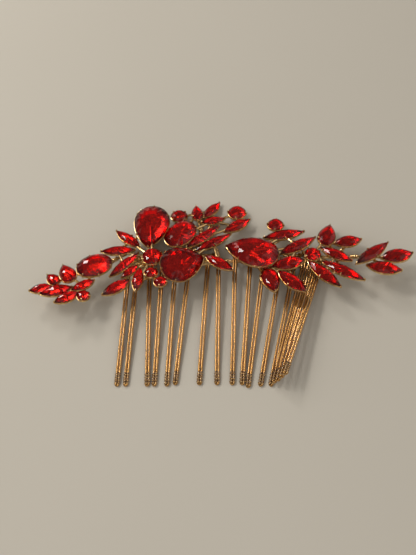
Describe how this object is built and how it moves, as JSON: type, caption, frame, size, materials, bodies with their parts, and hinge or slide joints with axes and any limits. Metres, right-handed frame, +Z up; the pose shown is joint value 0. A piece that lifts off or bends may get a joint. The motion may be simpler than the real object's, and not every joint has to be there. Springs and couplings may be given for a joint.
{
  "type": "peineta comb",
  "caption": "Peineta hair comb: a spray of red cut stones in gold claw cups, tied to a wire comb with doubled teeth; it lies face up.",
  "frame": {"origin": "under the middle of the comb's box, on the surface that it lies on", "axes": "+X along the comb, to the right in the picture; +Y from the teeth to the spray; +Z up, from the surface to the stones' tables"},
  "size_m": [0.1345, 0.0746, 0.012],
  "materials": {
    "gold_wire": "polished, bronze gold",
    "gold_cast": "polished, light gold",
    "red_stone": "cut and polished"
  },
  "bodies": {
    "root": {"comb_teeth": "gold_wire", "spine": "gold_wire", "binding": "gold_wire", "left_sprig": "gold_cast", "left_flower": "gold_cast", "centre_spray": "gold_cast", "right_flower": "gold_cast", "right_sprig": "gold_cast", "leaf_01": "red_stone", "leaf_02": "red_stone", "leaf_03": "red_stone", "leaf_04": "red_stone", "drop_01": "red_stone", "drop_02": "red_stone", "oval_01": "red_stone", "round_01": "red_stone", "leaf_05": "red_stone", "leaf_06": "red_stone", "leaf_07": "red_stone", "leaf_08": "red_stone", "leaf_09": "red_stone", "leaf_10": "red_stone", "round_02": "red_stone", "round_03": "red_stone", "round_04": "red_stone", "pear_01": "red_stone", "oval_02": "red_stone", "round_05": "red_stone", "pear_02": "red_stone", "drop_03": "red_stone", "leaf_11": "red_stone", "leaf_12": "red_stone", "round_06": "red_stone", "leaf_13": "red_stone", "leaf_14": "red_stone", "leaf_15": "red_stone", "leaf_16": "red_stone", "pear_03": "red_stone", "round_07": "red_stone", "leaf_17": "red_stone", "leaf_18": "red_stone", "leaf_19": "red_stone", "drop_04": "red_stone", "leaf_20": "red_stone", "round_08": "red_stone", "leaf_21": "red_stone", "leaf_22": "red_stone", "drop_05": "red_stone", "leaf_23": "red_stone", "leaf_24": "red_stone", "leaf_25": "red_stone", "leaf_26": "red_stone", "leaf_27": "red_stone"}
  },
  "joints": []
}
